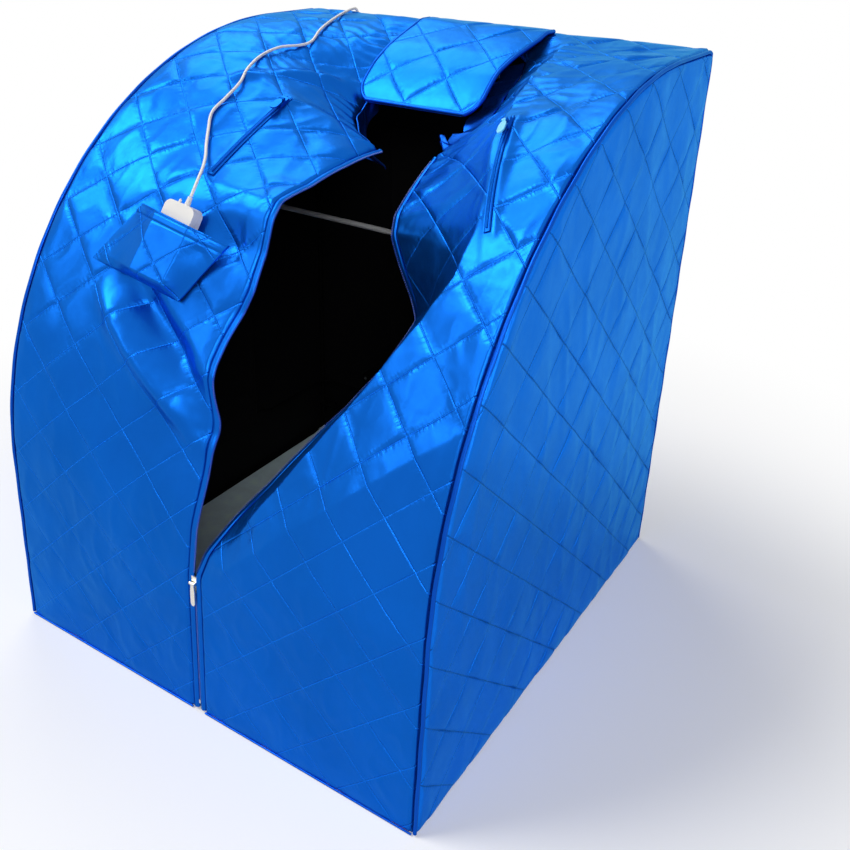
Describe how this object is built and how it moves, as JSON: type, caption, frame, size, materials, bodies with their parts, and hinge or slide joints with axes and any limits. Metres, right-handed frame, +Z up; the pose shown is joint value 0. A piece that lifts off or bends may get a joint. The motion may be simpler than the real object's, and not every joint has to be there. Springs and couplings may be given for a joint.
{
  "type": "portable sauna tent",
  "caption": "One-person heated sauna tent of quilted cloth on rod hoops, front zip half open, drooping neck flap, arm zips, pocket with wired handset.",
  "frame": {"origin": "centre of the base, on the floor", "axes": "+X to the right seen from the front, +Y to the back, +Z up"},
  "size_m": [0.8, 0.8343, 0.9485],
  "materials": {
    "quilt_blue": "quilted satin, slight sheen",
    "trim_blue": "woven binding and piping",
    "lining_black": "matt woven lining",
    "heater_black": "matt coated pad",
    "floor_grey": "coated woven floor",
    "rod_grey": "satin grey",
    "hoop_black": "satin black",
    "plastic_black": "fine grain",
    "plastic_white": "smooth",
    "cord_white": "smooth soft jacket",
    "window_dark": "clear dark window",
    "button_red": "smooth",
    "button_grey": "smooth",
    "steel": "plain",
    "slider_cream": "gloss enamel",
    "slider_blue": "gloss enamel",
    "tab_blue": "soft moulded tab",
    "board_green": "printed board"
  },
  "bodies": {
    "cabin": {"left_side_panel": "quilt_blue", "right_side_panel": "quilt_blue", "back_panel": "quilt_blue", "front_left_panel": "quilt_blue", "front_right_panel": "quilt_blue", "left_seam_piping": "trim_blue", "right_seam_piping": "trim_blue", "left_lining": "lining_black", "right_lining": "lining_black", "back_lining": "lining_black", "left_heater_panel": "heater_black", "right_heater_panel": "heater_black", "back_heater_panel": "heater_black", "heater_leads": "plastic_black", "floor_sheet": "floor_grey", "left_frame_hoop": "hoop_black", "right_frame_hoop": "hoop_black", "back_top_rod": "rod_grey", "back_bottom_rod": "rod_grey", "front_bottom_rod": "rod_grey", "middle_rod": "rod_grey", "rod_saddles": "plastic_black", "middle_rod_cups": "plastic_black", "cup_rivets": "steel", "left_neck_collar": "trim_blue", "right_neck_collar": "trim_blue", "front_zip_left_tape": "trim_blue", "front_zip_right_tape": "trim_blue", "front_zip_chain": "trim_blue", "front_zip_stop": "steel", "left_arm_zip": "trim_blue", "right_arm_zip": "trim_blue", "handset_pocket": "quilt_blue", "handset_cord": "cord_white", "cord_gland": "cord_white", "power_box_case": "plastic_black", "power_box_cover": "plastic_black", "power_box_screws": "steel", "power_circuit_board": "board_green", "mains_inlet": "plastic_black"},
    "neck_flap": {"neck_flap": "quilt_blue"},
    "front_zip_slider": {"front_zip_slider": "slider_cream"},
    "front_zip_pull": {"front_zip_pull": "slider_cream"},
    "left_arm_zip_slider": {"left_arm_zip_slider": "slider_blue"},
    "left_arm_zip_pull": {"left_arm_zip_pull": "tab_blue"},
    "right_arm_zip_slider": {"right_arm_zip_slider": "slider_blue"},
    "right_arm_zip_pull": {"right_arm_zip_pull": "tab_blue"},
    "handset": {"handset_front_shell": "plastic_white", "handset_rear_shell": "plastic_white", "handset_display": "window_dark", "handset_circuit_board": "board_green", "handset_screws": "steel", "handset_strain_relief": "cord_white", "handset_hang_nub": "plastic_white"},
    "power_button": {"power_button": "button_red"},
    "warmer_button": {"warmer_button": "button_grey"},
    "cooler_button": {"cooler_button": "button_grey"}
  },
  "joints": [
    {"name": "front_zip_travel", "type": "slide", "parent": "cabin", "child": "front_zip_slider", "axis": [0, 0.0523, 0.9986], "range_m": [-0.2, 0], "deforming": ["front_zip_chain"]},
    {"name": "front_zip_pull_swing", "type": "hinge", "parent": "front_zip_slider", "child": "front_zip_pull", "pos_m": [0, -0.39969, 0.23879], "axis": [-1, 0, 0], "range_deg": [0, 170]},
    {"name": "left_arm_zip_travel", "type": "hinge", "parent": "cabin", "child": "left_arm_zip_slider", "pos_m": [-0.46126, 0.37859, -0.38165], "axis": [0.9687, 0.1518, -0.1966], "range_deg": [0, 6.55]},
    {"name": "left_arm_zip_pull_swing", "type": "hinge", "parent": "left_arm_zip_slider", "child": "left_arm_zip_pull", "pos_m": [-0.15406, 0.01433, 0.85093], "axis": [-0.9687, -0.1518, 0.1966], "range_deg": [0, 165]},
    {"name": "right_arm_zip_travel", "type": "hinge", "parent": "cabin", "child": "right_arm_zip_slider", "pos_m": [0.49104, 0.27871, 0.34975], "axis": [0.8903, 0.086, 0.4471], "range_deg": [0, 15.17]},
    {"name": "right_arm_zip_pull_swing", "type": "hinge", "parent": "right_arm_zip_slider", "child": "right_arm_zip_pull", "pos_m": [0.25394, -0.00733, 0.8769], "axis": [-0.8903, -0.086, -0.4471], "range_deg": [0, 165]},
    {"name": "neck_flap_lift", "type": "hinge", "parent": "cabin", "child": "neck_flap", "pos_m": [0, 0.402, 0.9431], "axis": [-1, 0, 0], "range_deg": [0, 150]},
    {"name": "handset_lift", "type": "slide", "parent": "cabin", "child": "handset", "axis": [0.1427, 0.4815, 0.8648], "range_m": [0, 0.1], "deforming": ["handset_cord"]},
    {"name": "power_button_press", "type": "slide", "parent": "handset", "child": "power_button", "axis": [-0.1156, 0.8758, -0.4685], "range_m": [0, 0.001], "stiffness_N_per_m": 400},
    {"name": "warmer_button_press", "type": "slide", "parent": "handset", "child": "warmer_button", "axis": [-0.1156, 0.8758, -0.4685], "range_m": [0, 0.001], "stiffness_N_per_m": 400},
    {"name": "cooler_button_press", "type": "slide", "parent": "handset", "child": "cooler_button", "axis": [-0.1156, 0.8758, -0.4685], "range_m": [0, 0.001], "stiffness_N_per_m": 400}
  ]
}
